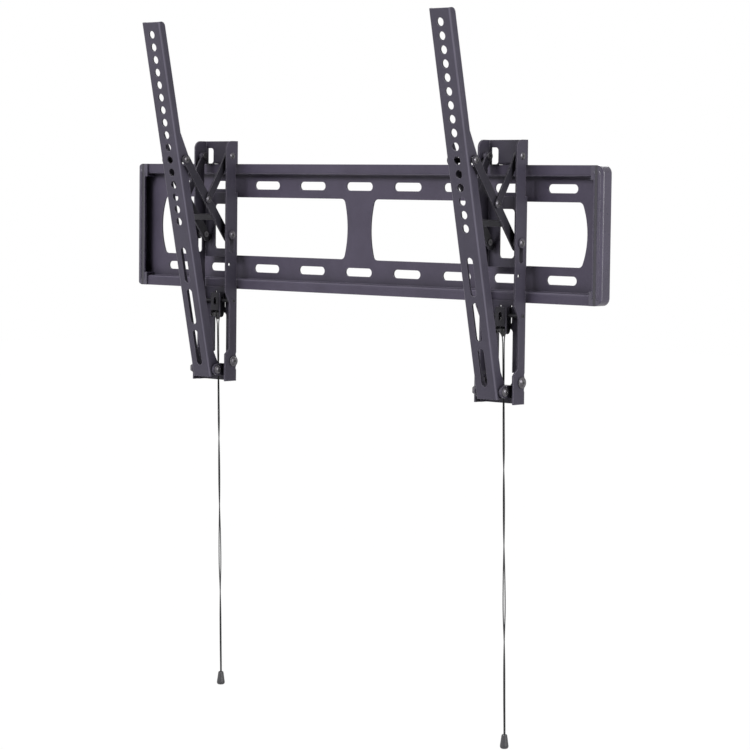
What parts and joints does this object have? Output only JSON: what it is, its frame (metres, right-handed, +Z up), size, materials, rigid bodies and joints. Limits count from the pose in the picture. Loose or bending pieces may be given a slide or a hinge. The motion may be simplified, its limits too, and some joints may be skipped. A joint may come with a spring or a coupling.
{
  "type": "tilting tv wall mount",
  "caption": "Tilting television wall mount with a slotted wall plate, two hook-on carriers, scissor-linked arms and pull-cord latches.",
  "frame": {"origin": "centre of the flat back of the wall plate, on the wall", "axes": "+X to the right along the plate as seen from the room, +Z up, -Y from the wall towards the room and the screen"},
  "size_m": [0.7402, 0.1334, 0.8125],
  "materials": {
    "steel_coated": "fine satin powder coat",
    "black_plastic": "fine grained moulding",
    "dark_fasteners": "black zinc, lightly polished",
    "spring_steel": "drawn wire",
    "black_cord": "braided"
  },
  "bodies": {
    "wall": {"wall_plate": "steel_coated", "end_cap_left": "black_plastic", "end_cap_right": "black_plastic"},
    "left_carriage": {"left_carrier": "steel_coated", "left_foot_bracket": "steel_coated", "left_foot_rivets": "dark_fasteners", "left_arm_pivot_bolt": "dark_fasteners", "left_arm_pivot_nut": "dark_fasteners", "left_arm_pivot_washers": "black_plastic", "left_link_pivots": "dark_fasteners", "left_link_spacers": "black_plastic", "left_latch_guide_pin": "dark_fasteners", "left_latch_spring": "spring_steel"},
    "left_tilt_arm": {"left_arm": "steel_coated"},
    "left_link_pair": {"left_links": "steel_coated"},
    "left_strut_set": {"left_strut": "steel_coated", "left_strut_top_pin": "dark_fasteners", "left_strut_mid_pins": "dark_fasteners", "left_strut_slide_pins": "dark_fasteners", "left_slide_washers": "black_plastic"},
    "left_latch_set": {"left_latch": "steel_coated", "left_latch_cord_pin": "dark_fasteners", "left_cord_front": "black_cord", "left_cord_back": "black_cord", "left_cord_knob": "black_plastic"},
    "right_carriage": {"right_carrier": "steel_coated", "right_foot_bracket": "steel_coated", "right_foot_rivets": "dark_fasteners", "right_arm_pivot_bolt": "dark_fasteners", "right_arm_pivot_nut": "dark_fasteners", "right_arm_pivot_washers": "black_plastic", "right_link_pivots": "dark_fasteners", "right_link_spacers": "black_plastic", "right_latch_guide_pin": "dark_fasteners", "right_latch_spring": "spring_steel"},
    "right_tilt_arm": {"right_arm": "steel_coated"},
    "right_link_pair": {"right_links": "steel_coated"},
    "right_strut_set": {"right_strut": "steel_coated", "right_strut_top_pin": "dark_fasteners", "right_strut_mid_pins": "dark_fasteners", "right_strut_slide_pins": "dark_fasteners", "right_slide_washers": "black_plastic"},
    "right_latch_set": {"right_latch": "steel_coated", "right_latch_cord_pin": "dark_fasteners", "right_cord_front": "black_cord", "right_cord_back": "black_cord", "right_cord_knob": "black_plastic"}
  },
  "joints": [
    {"name": "left_shift", "type": "slide", "parent": "wall", "child": "left_carriage", "axis": [1, 0, 0], "range_m": [-0.1, 0.18]},
    {"name": "left_tilt", "type": "hinge", "parent": "left_carriage", "child": "left_tilt_arm", "pos_m": [-0.219, -0.0374, -0.173], "axis": [1, 0, 0], "range_deg": [-11.7, 0]},
    {"name": "left_link", "type": "hinge", "parent": "left_carriage", "child": "left_link_pair", "pos_m": [-0.219, -0.024, 0.085], "axis": [1, 0, 0], "range_deg": [0, 24.9]},
    {"name": "left_fold", "type": "hinge", "parent": "left_link_pair", "child": "left_strut_set", "pos_m": [-0.219, -0.05542, 0.03271], "axis": [1, 0, 0], "range_deg": [-54.5, 0]},
    {"name": "left_pull", "type": "slide", "parent": "left_carriage", "child": "left_latch_set", "axis": [0, 0, 1], "range_m": [-0.007, 0], "stiffness_N_per_m": 500, "springref_m": 0.006, "deforming": ["left_latch_spring"]},
    {"name": "right_shift", "type": "slide", "parent": "wall", "child": "right_carriage", "axis": [1, 0, 0], "range_m": [-0.2, 0.085]},
    {"name": "right_tilt", "type": "hinge", "parent": "right_carriage", "child": "right_tilt_arm", "pos_m": [0.237, -0.0374, -0.173], "axis": [1, 0, 0], "range_deg": [-11.7, 0]},
    {"name": "right_link", "type": "hinge", "parent": "right_carriage", "child": "right_link_pair", "pos_m": [0.237, -0.024, 0.085], "axis": [1, 0, 0], "range_deg": [0, 24.9]},
    {"name": "right_fold", "type": "hinge", "parent": "right_link_pair", "child": "right_strut_set", "pos_m": [0.237, -0.05542, 0.03271], "axis": [1, 0, 0], "range_deg": [-54.5, 0]},
    {"name": "right_pull", "type": "slide", "parent": "right_carriage", "child": "right_latch_set", "axis": [0, 0, 1], "range_m": [-0.007, 0], "stiffness_N_per_m": 500, "springref_m": 0.006, "deforming": ["right_latch_spring"]}
  ],
  "couplings": [
    {"joint": "left_link", "follows": "left_tilt", "ratio": -2.12},
    {"joint": "left_fold", "follows": "left_tilt", "ratio": 4.64},
    {"joint": "right_link", "follows": "right_tilt", "ratio": -2.12},
    {"joint": "right_fold", "follows": "right_tilt", "ratio": 4.64}
  ]
}
